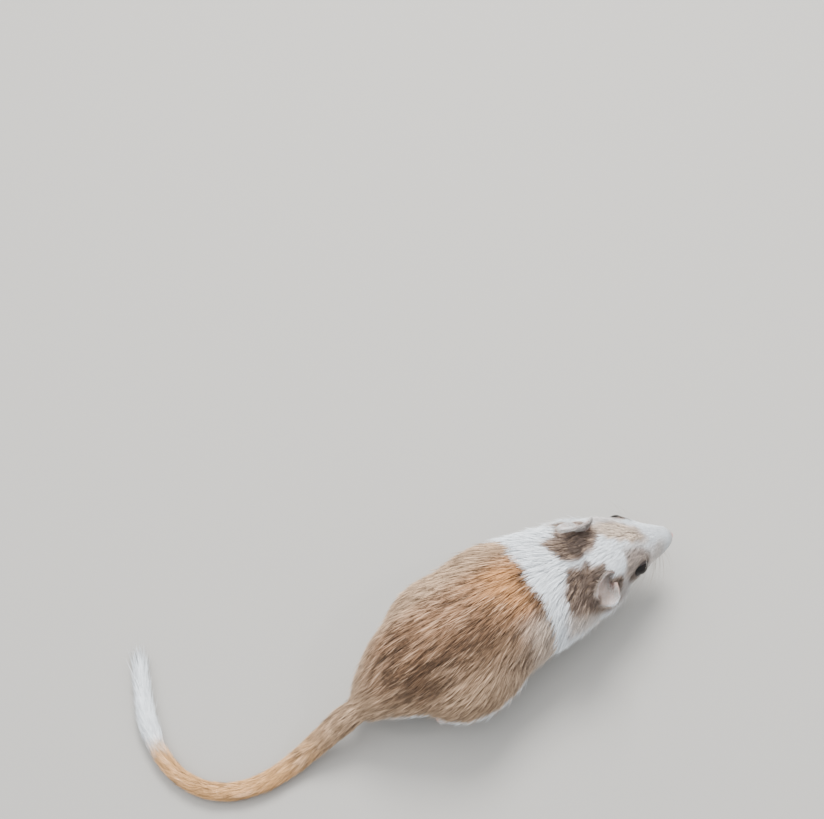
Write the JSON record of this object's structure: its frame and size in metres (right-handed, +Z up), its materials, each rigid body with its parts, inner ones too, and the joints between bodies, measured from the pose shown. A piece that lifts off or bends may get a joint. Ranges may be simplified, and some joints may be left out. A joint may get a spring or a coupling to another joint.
{
  "type": "gerbil",
  "caption": "Still, life-size pied gerbil crouched on the floor with its head turned a little and its tufted tail curled round.",
  "frame": {"origin": "on the floor, at the middle of the whole model's footprint, tail included", "axes": "+X the way the trunk faces, from the tail base to the neck; +Y the animal's left; +Z up from the floor"},
  "size_m": [0.1934, 0.0886, 0.0536],
  "materials": {
    "coat_golden": "short dense fur, golden tan with darker ticking",
    "coat_white": "short dense white fur",
    "skin_pink": "thin bare skin, soft sheen",
    "eye_black": "wet, glossy and black"
  },
  "bodies": {
    "root": {"head": "coat_golden", "torso": "coat_golden", "hindleg_left": "coat_golden", "hindleg_right": "coat_golden", "tail_1": "coat_golden", "tail_2": "coat_golden", "tail_3": "coat_golden", "tail_4": "coat_golden", "neck": "coat_white", "foreleg_left": "coat_white", "foreleg_right": "coat_white", "forefoot_left": "coat_white", "forefoot_right": "coat_white", "hindfoot_left": "coat_white", "hindfoot_right": "coat_white", "tail_brush": "coat_white", "ear_left": "skin_pink", "ear_right": "skin_pink", "eye_left": "eye_black", "eye_right": "eye_black"}
  },
  "joints": []
}
